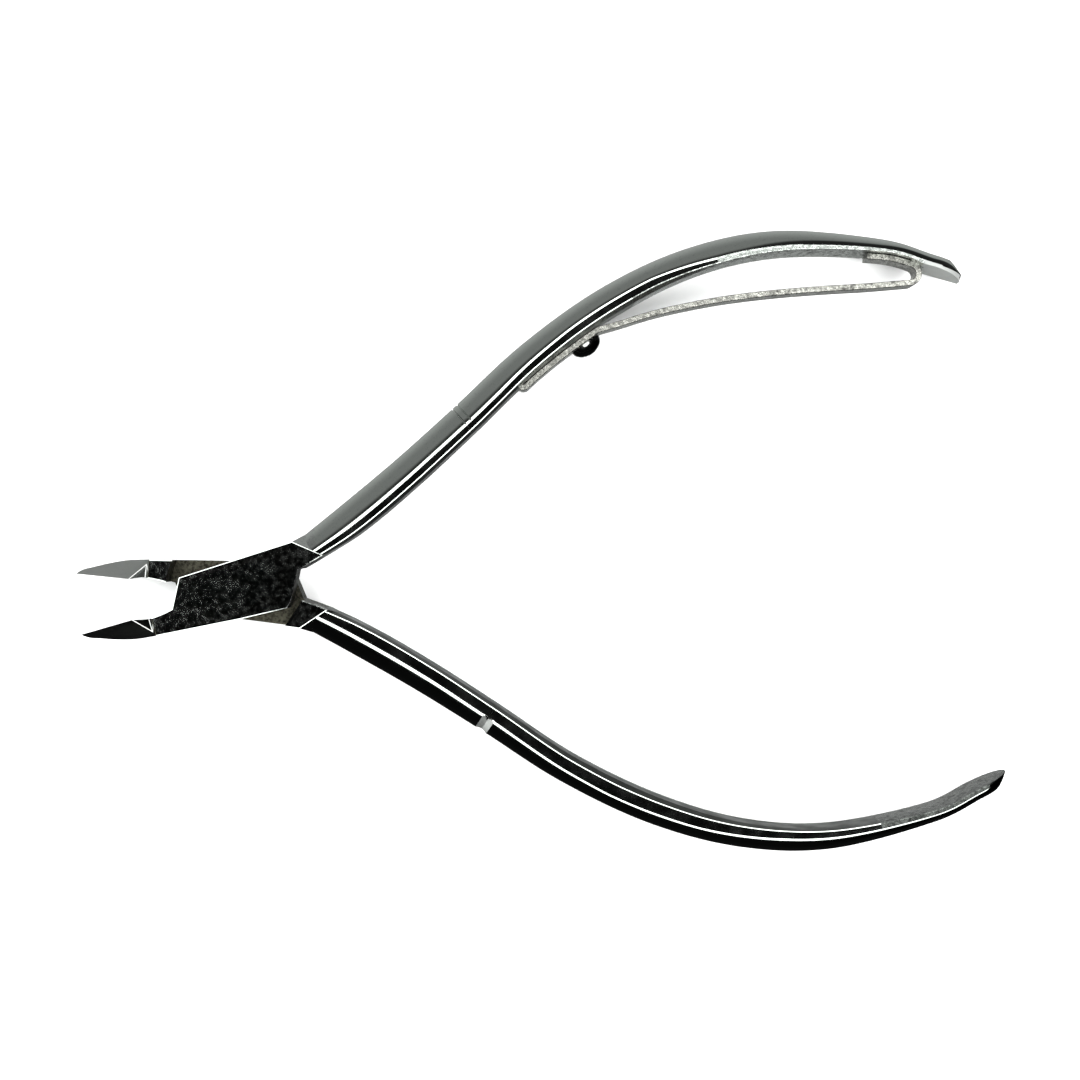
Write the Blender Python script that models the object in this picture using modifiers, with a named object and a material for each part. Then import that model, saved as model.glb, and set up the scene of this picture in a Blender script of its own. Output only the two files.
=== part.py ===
"""Cuticle nipper: two like halves crossed in a lap joint, with one leaf spring on a handle.

The frame has its origin on the pivot axis, level with the back face. +X points to the handles,
+Y to the handle with the spring and +Z out of the front face. Each half is drawn as it lies when
the nipper is closed, with its cutting edge on the X axis, and is then turned about the pivot by
half of the opening. The rear half is the front half turned over about the X axis.
"""

import math

import bmesh
import bpy
from mathutils import Matrix, Vector

# Lengths are in millimetres and angles in degrees. MM turns a length into metres.
MM = 0.001

# Opening of the nipper as it stands, between the closed position and rest
OPENING = 21.6

# Lap joint
JOINT_THICKNESS = 6.0
LAP_GAP = 0.08
PLATE_LEFT_X = -5.25
PLATE_TOP_Y = 2.95
PLATE_BOTTOM_X = -0.2
PLATE_BOTTOM_Y = -3.15
PLATE_RIGHT_X = 5.1
PLATE_END_Y = -3.4
PLATE_CORNER_X = 5.7
PLATE_CORNER_Y = -2.75
SHOULDER_CLEARANCE = 0.45
SHOULDER_RADIUS = 7.35
SHOULDER_START = 170
SHOULDER_END = 235
SHOULDER_STEP = 5
THROAT_X = -6.9
THROAT_Y = -0.12
CROTCH_X = 7.3
CROTCH_Y = 0.25

# Jaws: the relief runs back from the heel, and the back forwards from the tip
HEEL_X = -12.0
FLANK_LENGTH = 5.9
EDGE_LAND = 0.08
FLANK_ANGLE = 47.0
HEEL_ANGLE = 42.0
STEP_X = -9.35
STEP_ANGLE = 66.0
RELIEF = [(2.0, 0.42), (3.8, 0.34)]
JAW_BACK = [(1.0, 0.6), (2.4, 1.07), (4.2, 1.65), (6.2, 2.15), (8.1, 2.38)]

# Handle: outer outline as (share of the length, height), with the bar's width at each point
HANDLE_ROOT_X = 7.6
HANDLE_LENGTH = 75.8
HANDLE_SHAPE = [
    (0.0, 3.3, 3.0),
    (0.077, 5.8, 3.75),
    (0.169, 8.9, 3.75),
    (0.269, 12.6, 3.6),
    (0.391, 17.3, 3.45),
    (0.524, 20.9, 3.4),
    (0.657, 22.5, 3.1),
    (0.789, 21.7, 2.7),
    (0.931, 17.7, 1.8),
    (1.0, 14.4, 1.6),
]
HANDLE_HEIGHT = 5.9
SEAM_POINT = 3
SEAM_GAP = 0.06
RIDGE = 0.42
INNER_FACE = 0.62
INNER_EDGE = 0.07
INNER_EDGE_RISE = 0.14
TAIL_LENGTH = 1.9
TAIL_SLANT = 1.9
TAIL_TURN = 80.0
ROOT_SLOPE = 35.0
ROOT_INSET = 0.06
ROOT_INNER = (9.9, 1.4)
ROOT_INNER_STATIONS = (0.1, 0.45)
ROOT_OUTER_STATION = 0.2

# Pivot rivet
PIVOT_DIAMETER = 3.2
PIVOT_HEAD_DIAMETER = 4.8
PIVOT_HEAD_HEIGHT = 1.1
PIVOT_FRONT_SKIN = 0.9
PIVOT_CLEARANCE = 0.06

# Leaf spring: the leg's points are (share of the way from bend to hook, drop off the handle)
LEAF_THICKNESS = 0.65
LEAF_WIDTH = 3.0
LEAF_SEAT_GAP = 0.06
TANG_X = 34.0
TANG_DEPTH = 0.6
TANG_OVERLAP = 0.07
TANG_CLEARANCE = 0.1
BEND_X = 44.5
BEND_GAP = 0.2
LEG_SHAPE = [
    (0.068, 1.13),
    (0.161, 1.9),
    (0.264, 2.73),
    (0.413, 3.62),
    (0.589, 4.19),
    (0.754, 4.12),
    (0.891, 3.63),
]
LEG_END_ANGLE = -11.5
HOOK_SETBACK = 1.6
HOOK_RADIUS = 1.02
FOOT_LENGTH = 4.8

# Spring rivet
SPRING_RIVET_X = 42.6
SPRING_RIVET_DIAMETER = 1.6
SPRING_HEAD_DIAMETER = 3.5
SPRING_HEAD_HEIGHT = 1.3
SPRING_RIVET_DEPTH = 2.2
SPRING_RIVET_CLEARANCE = 0.06
HEAD_RIM = 0.15
DIMPLE_DIAMETER = 0.8
DIMPLE_DEPTH = 0.15

# Fineness of the curved surfaces
SLOPE_STEPS = 5
ARM_STATIONS = 12
HANDLE_STATIONS = 34
TAIL_RINGS = 5
TURNED_STEPS = 32
DOME_STEPS = 6
CURVE_STEPS = 4
HOOK_STEPS = 10
BASE_STEPS = 16
FOOT_STEPS = 6
SHARP_ANGLE = 24

# How far a cutter runs past what it cuts
REACH = 2.0

HANDLE = [(HANDLE_ROOT_X + HANDLE_LENGTH * share, y, width) for share, y, width in HANDLE_SHAPE]
TIP_X = HEEL_X - FLANK_LENGTH
HOOK_X = HANDLE_ROOT_X + HANDLE_LENGTH - HOOK_SETBACK
MID_Z = JOINT_THICKNESS / 2
SEAM = float(SEAM_POINT)
HANDLE_END = float(len(HANDLE) - 1)


# ---------------------------------------------------------------- scene and materials


def clear_scene():
    for obj in list(bpy.data.objects):
        bpy.data.objects.remove(obj, do_unlink=True)


def new_collection(name):
    found = bpy.data.collections.new(name)
    bpy.context.scene.collection.children.link(found)
    return found


def new_material(name, color, roughness):
    material = bpy.data.materials.new(name)
    material.use_nodes = True
    shader = material.node_tree.nodes["Principled BSDF"]
    shader.inputs["Base Color"].default_value = (*color, 1.0)
    shader.inputs["Metallic"].default_value = 1.0
    shader.inputs["Roughness"].default_value = roughness
    return material


def finish_object(obj, material, collection):
    """Leaves the object in its own collection only, with its one material."""
    for other in list(obj.users_collection):
        other.objects.unlink(obj)
    collection.objects.link(obj)
    obj.data.materials.clear()
    obj.data.materials.append(material)


def as_cutter(obj, collection):
    for other in list(obj.users_collection):
        other.objects.unlink(obj)
    collection.objects.link(obj)
    obj.hide_render = True
    obj.display_type = "WIRE"
    return obj


def boolean(obj, other, operation):
    modifier = obj.modifiers.new(operation.lower() + " " + other.name, "BOOLEAN")
    modifier.operation = operation
    modifier.solver = "EXACT"
    modifier.object = other


# ---------------------------------------------------------------- curves in the plane


def spline(points, t):
    """The point at parameter t on the Catmull-Rom curve through points of any dimension."""
    last = len(points) - 1
    index = min(max(int(t), 0), last - 1)
    f = t - index
    p1 = Vector(points[index])
    p2 = Vector(points[index + 1])
    p0 = Vector(points[index - 1]) if index else 2 * p1 - p2
    p3 = Vector(points[index + 2]) if index + 1 < last else 2 * p2 - p1
    return 0.5 * (
        2 * p1 + (p2 - p0) * f + (2 * p0 - 5 * p1 + 4 * p2 - p3) * f**2 + (3 * p1 - p0 - 3 * p2 + p3) * f**3
    )


def through(points, steps=CURVE_STEPS):
    """Points along the smooth curve through all of these, both ends included."""
    count = (len(points) - 1) * steps
    return [spline(points, i / steps) for i in range(count + 1)]


def heading(points, t):
    step = 0.001
    last = len(points) - 1
    ahead = spline(points, min(t + step, last))
    behind = spline(points, max(t - step, 0.0))
    return (ahead - behind).to_2d().normalized()


def handle_at(t):
    """(outer point, direction along the bar, direction inwards, width) at parameter t."""
    x, y, width = spline(HANDLE, t)
    along = heading(HANDLE, t)
    inwards = Vector((along.y, -along.x))
    return Vector((x, y)), along, inwards, width


def handle_parameter(x):
    """The parameter at which the handle's outer outline reaches this X."""
    low, high = 0.0, HANDLE_END
    for _ in range(40):
        middle = (low + high) / 2
        if spline(HANDLE, middle).x < x:
            low = middle
        else:
            high = middle
    return low


def off_inner_face(x, distance):
    """The point this far off the handle's inner face, opposite the outline's point at x."""
    outer, along, inwards, width = handle_at(handle_parameter(x))
    return outer + inwards * (width + distance), along


# ---------------------------------------------------------------- solids


def mesh_object(name, mesh):
    obj = bpy.data.objects.new(name, mesh)
    bpy.context.scene.collection.objects.link(obj)
    return obj


def prism(name, outline, low, high):
    """A flat outline given thickness from height low to height high, as a welded mesh."""
    curve = bpy.data.curves.new(name, "CURVE")
    curve.dimensions = "2D"
    curve.fill_mode = "BOTH"
    curve.extrude = (high - low) / 2 * MM
    line = curve.splines.new("POLY")
    line.points.add(len(outline) - 1)
    for point, place in zip(line.points, outline):
        point.co = (place[0] * MM, place[1] * MM, 0.0, 1.0)
    line.use_cyclic_u = True
    source = bpy.data.objects.new(name + " curve", curve)
    bpy.context.scene.collection.objects.link(source)
    bpy.context.view_layer.update()
    graph = bpy.context.evaluated_depsgraph_get()
    mesh = bpy.data.meshes.new_from_object(source.evaluated_get(graph))
    bpy.data.objects.remove(source)
    mesh.transform(Matrix.Translation((0.0, 0.0, (low + high) / 2 * MM)))
    shape = bmesh.new()
    shape.from_mesh(mesh)
    bmesh.ops.remove_doubles(shape, verts=shape.verts, dist=1e-7)
    bmesh.ops.recalc_face_normals(shape, faces=shape.faces)
    shape.to_mesh(mesh)
    shape.free()
    mesh.name = name
    return mesh_object(name, mesh)


def block(name, low, high, planes):
    """A box, in millimetres, cut by planes given as (point, normal of the side that goes)."""
    shape = bmesh.new()
    size = Vector(high) - Vector(low)
    centre = (Vector(high) + Vector(low)) / 2
    bmesh.ops.create_cube(shape, size=1.0)
    bmesh.ops.scale(shape, vec=size * MM, verts=shape.verts)
    bmesh.ops.translate(shape, vec=centre * MM, verts=shape.verts)
    for point, normal in planes:
        geometry = shape.verts[:] + shape.edges[:] + shape.faces[:]
        bmesh.ops.bisect_plane(
            shape, geom=geometry, plane_co=Vector(point) * MM, plane_no=Vector(normal), clear_outer=True
        )
        open_edges = [edge for edge in shape.edges if edge.is_boundary]
        bmesh.ops.holes_fill(shape, edges=open_edges)
    bmesh.ops.recalc_face_normals(shape, faces=shape.faces)
    mesh = bpy.data.meshes.new(name)
    shape.to_mesh(mesh)
    shape.free()
    return mesh_object(name, mesh)


def loft(name, rings):
    """A closed skin over like rings of points. No primitive or modifier joins unlike sections."""
    shape = bmesh.new()
    loops = [[shape.verts.new(Vector(point) * MM) for point in ring] for ring in rings]
    count = len(loops[0])
    for one, two in zip(loops, loops[1:]):
        for i in range(count):
            shape.faces.new((one[i], one[(i + 1) % count], two[(i + 1) % count], two[i]))
    shape.faces.new(list(reversed(loops[0])))
    shape.faces.new(loops[-1])
    bmesh.ops.recalc_face_normals(shape, faces=shape.faces)
    mesh = bpy.data.meshes.new(name)
    shape.to_mesh(mesh)
    shape.free()
    mesh.shade_smooth()
    mesh.set_sharp_from_angle(angle=math.radians(SHARP_ANGLE))
    return mesh_object(name, mesh)


def turned(name, profile):
    """A turned piece about Z. The profile of (radius, height) runs from the top down."""
    mesh = bpy.data.meshes.new(name)
    points = [(radius * MM, 0.0, height * MM) for radius, height in profile]
    edges = [(i, i + 1) for i in range(len(points) - 1)]
    mesh.from_pydata(points, edges, [])
    obj = mesh_object(name, mesh)
    screw = obj.modifiers.new("turn", "SCREW")
    screw.axis = "Z"
    screw.steps = TURNED_STEPS
    screw.render_steps = TURNED_STEPS
    screw.use_merge_vertices = True
    screw.merge_threshold = 1e-6
    screw.use_smooth_shade = True
    return obj


# ---------------------------------------------------------------- the bar's section


def section():
    """The bar's section as (share of width from the inner face, share of half height)."""
    upper = [(0.0, INNER_FACE), (INNER_EDGE, INNER_FACE + INNER_EDGE_RISE), (RIDGE, 1.0)]
    for i in range(1, SLOPE_STEPS):
        angle = math.pi / 2 * i / SLOPE_STEPS
        upper.append((RIDGE + (1 - RIDGE) * math.sin(angle), math.cos(angle)))
    lower = [(u, -v) for u, v in reversed(upper)]
    return upper + [(1.0, 0.0)] + lower + [(0.0, 0.0)]


def bar_ring(t, height_share=1.0, tail_share=0.0, shift=0.0):
    """One section of the bar. The tail reaches further at the inner face than at the outer."""
    outer, along, inwards, width = handle_at(t)
    ring = []
    for u, v in section():
        reach = shift + tail_share * (TAIL_LENGTH + TAIL_SLANT * (1 - u))
        place = outer + inwards * (width * (1 - u)) + along * reach
        ring.append((place.x, place.y, MID_Z + v * height_share * HANDLE_HEIGHT / 2))
    return ring


def bar_rings(start, end, stations, start_shift, end_shift):
    rings = []
    for i in range(stations + 1):
        shift = start_shift if i == 0 else end_shift if i == stations else 0.0
        rings.append(bar_ring(start + (end - start) * i / stations, shift=shift))
    return rings


def tail_rings():
    rings = []
    for i in range(1, TAIL_RINGS + 1):
        angle = math.radians(TAIL_TURN) * i / TAIL_RINGS
        rings.append(bar_ring(HANDLE_END, height_share=math.cos(angle), tail_share=math.sin(angle)))
    return rings


# ---------------------------------------------------------------- jaw blank


def blank_outline():
    """The jaw, lap plate and arm root of one half, seen from the front with the nipper closed."""
    back = through([(TIP_X, 0.0)] + [(TIP_X + behind, -drop) for behind, drop in JAW_BACK])
    relief = [(HEEL_X + behind, -drop) for behind, drop in RELIEF]
    edge = through([(THROAT_X, THROAT_Y)] + relief[::-1] + [(HEEL_X, 0.0)])
    inner = []
    for t in ROOT_INNER_STATIONS:
        point, _, inwards, width = handle_at(t)
        inner.append(tuple(point + inwards * (width - ROOT_INSET)))
    end, _, inwards, _ = handle_at(ROOT_OUTER_STATION)
    root, _, root_inwards, _ = handle_at(0.0)
    outer = [tuple(end + inwards * ROOT_INSET), tuple(root - root_inwards * ROOT_INSET)]
    plate = [
        (PLATE_BOTTOM_X, PLATE_BOTTOM_Y),
        (PLATE_RIGHT_X, PLATE_END_Y),
        (PLATE_CORNER_X, PLATE_CORNER_Y),
        (CROTCH_X, CROTCH_Y),
    ]
    top = [(PLATE_LEFT_X, PLATE_TOP_Y)]
    return [tuple(point) for point in back] + plate + inner + outer + top + [tuple(point) for point in edge]


def recess_outline():
    """What the other half's plate sweeps: an arc on the jaw side, a straight shoulder behind."""
    arc = []
    for degrees in range(SHOULDER_START, SHOULDER_END + SHOULDER_STEP, SHOULDER_STEP):
        angle = math.radians(degrees)
        arc.append((SHOULDER_RADIUS * math.cos(angle), SHOULDER_RADIUS * math.sin(angle)))
    crotch = Vector((CROTCH_X, -CROTCH_Y))
    corner = Vector((PLATE_CORNER_X, -PLATE_CORNER_Y))
    along = (corner - crotch).normalized()
    away = Vector((along.y, -along.x))
    start = crotch + away * SHOULDER_CLEARANCE
    low = start - along * SHOULDER_RADIUS
    high = start + along * SHOULDER_RADIUS
    below = (0.0, -SHOULDER_RADIUS)
    above = (PLATE_LEFT_X, SHOULDER_RADIUS)
    return arc + [below, tuple(low), tuple(high), above]


def jaw_cutter(name, side):
    """The wedge ground off one face: above the flank, the heel facet and the step."""
    flank = math.radians(FLANK_ANGLE)
    heel = math.radians(HEEL_ANGLE)
    step = math.radians(STEP_ANGLE)
    edge_z = MID_Z + side * EDGE_LAND / 2
    face_z = MID_Z + side * MID_Z
    planes = [
        ((0.0, 0.0, edge_z), (0.0, -math.sin(flank), -side * math.cos(flank))),
        ((HEEL_X, 0.0, edge_z), (math.sin(heel), 0.0, -side * math.cos(heel))),
        ((STEP_X, 0.0, face_z), (math.sin(step), 0.0, -side * math.cos(step))),
    ]
    far = MID_Z + side * (MID_Z + REACH)
    low = (TIP_X - REACH, PLATE_BOTTOM_Y - REACH, min(MID_Z, far))
    high = (STEP_X + REACH, REACH, max(MID_Z, far))
    return block(name, low, high, planes)


def root_cutter(name, side):
    """Where the flat face of the plate turns down into the bar's outer slope."""
    outer = Vector(spline(HANDLE, 0.0)[:2])
    along = (Vector(ROOT_INNER) - outer).normalized()
    across = Vector((-along.y, along.x))
    slope = math.radians(ROOT_SLOPE)
    face_z = MID_Z + side * MID_Z
    down = (-across.x * math.sin(slope), -across.y * math.sin(slope), -side * math.cos(slope))
    far = MID_Z + side * (MID_Z + REACH)
    low = (PLATE_CORNER_X - REACH, PLATE_CORNER_Y - REACH, min(MID_Z, far))
    high = (ROOT_INNER[0] + 2 * REACH, outer.y + 2 * REACH, max(MID_Z, far))
    return block(name, low, high, [((outer.x, outer.y, face_z), down)])


def make_blank(name, material, parts, cutters):
    blank = prism(name, blank_outline(), 0.0, JOINT_THICKNESS)
    for side, word in ((1, "front"), (-1, "back")):
        boolean(blank, as_cutter(jaw_cutter(f"{name} {word} jaw cut", side), cutters), "DIFFERENCE")
        boolean(blank, as_cutter(root_cutter(f"{name} {word} root cut", side), cutters), "DIFFERENCE")
    arm = loft(name + " arm", bar_rings(0.0, SEAM, ARM_STATIONS, 0.0, -SEAM_GAP / 2))
    boolean(blank, as_cutter(arm, cutters), "UNION")
    recess = prism(name + " recess", recess_outline(), -REACH, MID_Z + LAP_GAP / 2)
    boolean(blank, as_cutter(recess, cutters), "DIFFERENCE")
    finish_object(blank, material, parts)
    return blank, [arm, recess] + [m.object for m in blank.modifiers if "cut" in m.name]


# ---------------------------------------------------------------- leaf spring


def ribbon(centre_line):
    """The outline of a strip of the leaf's thickness along a centre line."""
    left, right = [], []
    last = len(centre_line) - 1
    for i, point in enumerate(centre_line):
        ahead = Vector(centre_line[min(i + 1, last)])
        behind = Vector(centre_line[max(i - 1, 0)])
        along = (ahead - behind).normalized()
        side = Vector((-along.y, along.x)) * LEAF_THICKNESS / 2
        left.append(tuple(Vector(point) + side))
        right.append(tuple(Vector(point) - side))
    return left + right[::-1]


def on_handle(x):
    """The leaf's centre where it lies on the handle's inner face, and the way along it."""
    return off_inner_face(x, LEAF_SEAT_GAP + LEAF_THICKNESS / 2)


def seated_line(start_x, end_x, count):
    return [on_handle(start_x + (end_x - start_x) * i / count)[0] for i in range(count + 1)]


def tang_outline():
    """The leaf's turned-in end, which sits in a notch of the handle."""
    top, along = off_inner_face(TANG_X, -TANG_DEPTH)
    bottom, _ = on_handle(TANG_X)
    behind = along * TANG_OVERLAP
    ahead = along * LEAF_THICKNESS
    return [bottom - behind, bottom + ahead, top + ahead, top - behind]


def base_line():
    line = seated_line(TANG_X, BEND_X, BASE_STEPS)
    along = (line[-1] - line[-2]).normalized()
    line[-1] = line[-1] - along * BEND_GAP / 2
    return line


def arm_line():
    """The free leg, the hook at its end and the foot that lies back along the handle."""
    foot = seated_line(HOOK_X, HOOK_X - FOOT_LENGTH, FOOT_STEPS)
    _, along = on_handle(HOOK_X)
    turn_start = math.radians(LEG_END_ANGLE)
    turn_end = math.atan2(-along.y, -along.x)
    centre = foot[0] - HOOK_RADIUS * Vector((math.sin(turn_end), -math.cos(turn_end)))
    hook = []
    for i in range(HOOK_STEPS):
        angle = turn_start + (turn_end - turn_start) * i / HOOK_STEPS
        hook.append(centre + HOOK_RADIUS * Vector((math.sin(angle), -math.cos(angle))))
    bend, leaving = on_handle(BEND_X)
    leg = [bend + leaving * BEND_GAP / 2]
    for share, drop in LEG_SHAPE:
        leg.append(off_inner_face(BEND_X + (HOOK_X - BEND_X) * share, drop)[0])
    return through(leg + [hook[0]])[:-1] + hook + foot


def make_leaf(name, centre_line, material, parts):
    low = MID_Z - LEAF_WIDTH / 2
    leaf = prism(name, ribbon(centre_line), low, low + LEAF_WIDTH)
    finish_object(leaf, material, parts)
    return leaf


# ---------------------------------------------------------------- rivets


def rivet_axis():
    """Where the spring rivet's axis meets the handle's inner face, and the way out of it."""
    face, _ = off_inner_face(SPRING_RIVET_X, 0.0)
    _, _, inwards, _ = handle_at(handle_parameter(SPRING_RIVET_X))
    return face, inwards


def spring_rivet_profile():
    """Domed head with a shallow dimple above the leaf, and a plain shank below it."""
    seat = 2 * LEAF_SEAT_GAP + LEAF_THICKNESS
    head = SPRING_HEAD_DIAMETER / 2
    dimple = DIMPLE_DIAMETER / 2
    profile = [(0.0, seat + SPRING_HEAD_HEIGHT - DIMPLE_DEPTH)]
    for i in range(DOME_STEPS + 1):
        radius = dimple + (head - dimple) * math.sin(math.pi / 2 * i / DOME_STEPS)
        fall = math.cos(math.pi / 2 * i / DOME_STEPS)
        profile.append((radius, seat + HEAD_RIM + (SPRING_HEAD_HEIGHT - HEAD_RIM) * fall))
    shank = SPRING_RIVET_DIAMETER / 2
    return profile + [(head, seat), (shank, seat), (shank, -SPRING_RIVET_DEPTH), (0.0, -SPRING_RIVET_DEPTH)]


def pivot_profile(clearance=0.0, bottom=0.0):
    """The stepped pivot rivet, or with a clearance the bore that it turns in."""
    shank = PIVOT_DIAMETER / 2 + clearance
    head = PIVOT_HEAD_DIAMETER / 2 + clearance
    top = JOINT_THICKNESS - PIVOT_FRONT_SKIN + clearance
    shoulder = PIVOT_HEAD_HEIGHT + clearance
    return [(0.0, top), (shank, top), (shank, shoulder), (head, shoulder), (head, bottom), (0.0, bottom)]


def aimed(obj, face, direction):
    """Stands a turned piece on a point of the closed plan, with its +Z along direction."""
    z = Vector((direction.x, direction.y, 0.0))
    y = Vector((0.0, 0.0, 1.0))
    x = y.cross(z)
    turn = Matrix((x, y, z)).transposed().to_4x4()
    obj.matrix_world = Matrix.Translation(Vector((face.x, face.y, MID_Z)) * MM) @ turn
    return obj


def plain_cylinder(name, radius, low, high):
    return turned(name, [(0.0, high), (radius, high), (radius, low), (0.0, low)])


# ---------------------------------------------------------------- assembly


def half_placement(front):
    """Turns a half from its closed drawing to rest, and turns the rear half over first."""
    angle = math.radians(OPENING / 2)
    if front:
        return Matrix.Rotation(angle, 4, "Z")
    over = Matrix.Translation((0.0, 0.0, JOINT_THICKNESS * MM)) @ Matrix.Rotation(math.pi, 4, "X")
    return Matrix.Rotation(-angle, 4, "Z") @ over


def place(objects, matrix):
    for obj in objects:
        obj.matrix_world = matrix @ obj.matrix_world


def hold(objects, empty):
    """Parents the objects to an empty without moving them."""
    bpy.context.view_layer.update()
    for obj in objects:
        world = obj.matrix_world.copy()
        obj.parent = empty
        obj.matrix_parent_inverse = empty.matrix_world.inverted()
        obj.matrix_world = world


def body_empty(name, location, parts):
    empty = bpy.data.objects.new(name, None)
    empty.empty_display_size = 5 * MM
    empty.location = location
    parts.objects.link(empty)
    return empty


def main():
    clear_scene()
    parts = new_collection("cuticle_nipper")
    cutters = new_collection("cutters")
    steel = new_material("polished steel", (0.55, 0.56, 0.56), 0.12)
    bar_steel = new_material("bright bar steel", (0.62, 0.63, 0.63), 0.15)
    spring_steel = new_material("sheared spring steel", (0.58, 0.58, 0.55), 0.32)
    pivot_steel = new_material("turned pivot steel", (0.4, 0.4, 0.4), 0.25)
    rivet_steel = new_material("dark rivet steel", (0.16, 0.16, 0.17), 0.2)

    front_blank, front_cuts = make_blank("front_jaw_blank", steel, parts, cutters)
    rear_blank, rear_cuts = make_blank("rear_jaw_blank", steel, parts, cutters)
    handle_rings = bar_rings(SEAM, HANDLE_END, HANDLE_STATIONS, SEAM_GAP / 2, 0.0) + tail_rings()
    front_handle = loft("front_handle", handle_rings)
    rear_handle = loft("rear_handle", handle_rings)
    finish_object(front_handle, bar_steel, parts)
    finish_object(rear_handle, bar_steel, parts)

    # The spring, the rivet that holds it and their seats in the front handle
    base = make_leaf("spring_base", base_line(), spring_steel, parts)
    low = MID_Z - LEAF_WIDTH / 2
    tang = prism("tang", tang_outline(), low, low + LEAF_WIDTH)
    boolean(base, as_cutter(tang, cutters), "UNION")
    arm = make_leaf("spring_arm", arm_line(), spring_steel, parts)
    face, outwards = rivet_axis()
    rivet = aimed(turned("spring_rivet", spring_rivet_profile()), face, outwards)
    finish_object(rivet, rivet_steel, parts)
    bore_radius = SPRING_RIVET_DIAMETER / 2 + SPRING_RIVET_CLEARANCE
    bore_depth = SPRING_RIVET_DEPTH + SPRING_RIVET_CLEARANCE
    bore = aimed(plain_cylinder("spring rivet bore", bore_radius, -bore_depth, REACH), face, outwards)
    boolean(base, as_cutter(bore, cutters), "DIFFERENCE")
    boolean(front_handle, bore, "DIFFERENCE")
    notch_corner, along = off_inner_face(TANG_X, -TANG_DEPTH - TANG_CLEARANCE)
    notch_mouth, _ = off_inner_face(TANG_X, REACH)
    behind = along * (TANG_OVERLAP + TANG_CLEARANCE)
    ahead = along * (LEAF_THICKNESS + TANG_CLEARANCE)
    notch_outline = [notch_corner - behind, notch_mouth - behind, notch_mouth + ahead, notch_corner + ahead]
    notch = prism("tang notch", notch_outline, low - TANG_CLEARANCE, low + LEAF_WIDTH + TANG_CLEARANCE)
    boolean(front_handle, as_cutter(notch, cutters), "DIFFERENCE")

    place([front_blank, front_handle, base, arm, rivet, tang, bore, notch] + front_cuts, half_placement(True))
    place([rear_blank, rear_handle] + rear_cuts, half_placement(False))

    # The pivot rivet is fast in the front plate and turns in the rear one
    pivot = turned("pivot_rivet", pivot_profile())
    finish_object(pivot, pivot_steel, parts)
    pivot_bore = as_cutter(turned("pivot bore", pivot_profile(PIVOT_CLEARANCE, -REACH)), cutters)
    boolean(front_blank, pivot_bore, "DIFFERENCE")
    boolean(rear_blank, pivot_bore, "DIFFERENCE")

    # Bodies: the rear half turns about the pivot, and the spring's free leg about its bend
    front_half = body_empty("front_half_body", (0.0, 0.0, 0.0), parts)
    rear_half = body_empty("rear_half_body", (0.0, 0.0, 0.0), parts)
    bend = half_placement(True) @ (Vector((*on_handle(BEND_X)[0], MID_Z)) * MM)
    spring_body = body_empty("spring_arm_body", bend, parts)
    hold([front_blank, front_handle, base, rivet, pivot, tang, bore, notch] + front_cuts, front_half)
    hold([rear_blank, rear_handle] + rear_cuts, rear_half)
    hold([arm], spring_body)
    hold([rear_half, spring_body], front_half)


main()
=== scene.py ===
"""Cuticle nipper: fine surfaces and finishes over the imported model, laid out as an add-on.

Both halves are drawn as they lie when the nipper is closed, with the cutting edge on the X axis
and the front face up. Each is then turned about the pivot by half of the opening, and the rear
half is first turned over. Lengths in the lists below are in millimetres.
"""

import math

import bpy
from mathutils import Matrix, Vector


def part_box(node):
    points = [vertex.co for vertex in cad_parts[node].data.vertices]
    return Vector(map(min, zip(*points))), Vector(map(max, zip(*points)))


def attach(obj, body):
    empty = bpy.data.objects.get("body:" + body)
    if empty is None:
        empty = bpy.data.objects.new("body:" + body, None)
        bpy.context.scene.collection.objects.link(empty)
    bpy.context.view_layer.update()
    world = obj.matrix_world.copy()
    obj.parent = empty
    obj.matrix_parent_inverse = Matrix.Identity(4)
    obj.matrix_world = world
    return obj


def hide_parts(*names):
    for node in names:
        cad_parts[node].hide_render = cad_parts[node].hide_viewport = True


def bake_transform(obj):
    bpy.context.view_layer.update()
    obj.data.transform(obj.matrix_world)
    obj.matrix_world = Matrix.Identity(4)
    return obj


bl_info = {
    "name": "Cuticle Nipper",
    "version": (1, 0, 0),
    "blender": (4, 5, 0),
    "location": "3D View > Sidebar > Nipper",
    "description": "Builds the fine surfaces of a cuticle nipper around its packed model",
    "category": "Add Mesh",
}

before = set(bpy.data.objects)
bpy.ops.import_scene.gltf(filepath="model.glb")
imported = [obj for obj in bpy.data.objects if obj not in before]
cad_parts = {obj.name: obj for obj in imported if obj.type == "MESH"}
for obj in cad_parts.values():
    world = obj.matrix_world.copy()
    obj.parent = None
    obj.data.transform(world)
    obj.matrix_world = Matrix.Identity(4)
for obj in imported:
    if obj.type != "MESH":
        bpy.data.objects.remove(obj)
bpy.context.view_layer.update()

MM = 0.001

# Bar of a handle: outer outline as (share of the length, height), and the bar's width there
HANDLE_ROOT_X = 7.6
HANDLE_LENGTH = 75.8
HANDLE_SHAPE = [
    (0.0, 3.3, 3.0),
    (0.077, 5.8, 3.75),
    (0.169, 8.9, 3.75),
    (0.269, 12.6, 3.6),
    (0.391, 17.3, 3.45),
    (0.524, 20.9, 3.4),
    (0.657, 22.5, 3.1),
    (0.789, 21.7, 2.7),
    (0.931, 17.7, 1.8),
    (1.0, 14.4, 1.6),
]
SEAM_STATION = 3.0
SEAM_GAP = 0.02
TAIL_LENGTH = 1.9
TAIL_SLANT = 1.9
TAIL_TURN = 80.0
ROOT_INNER = (9.9, 1.4)
ROOT_SLOPE = 60.0
ROOT_INSET = 0.06

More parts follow.
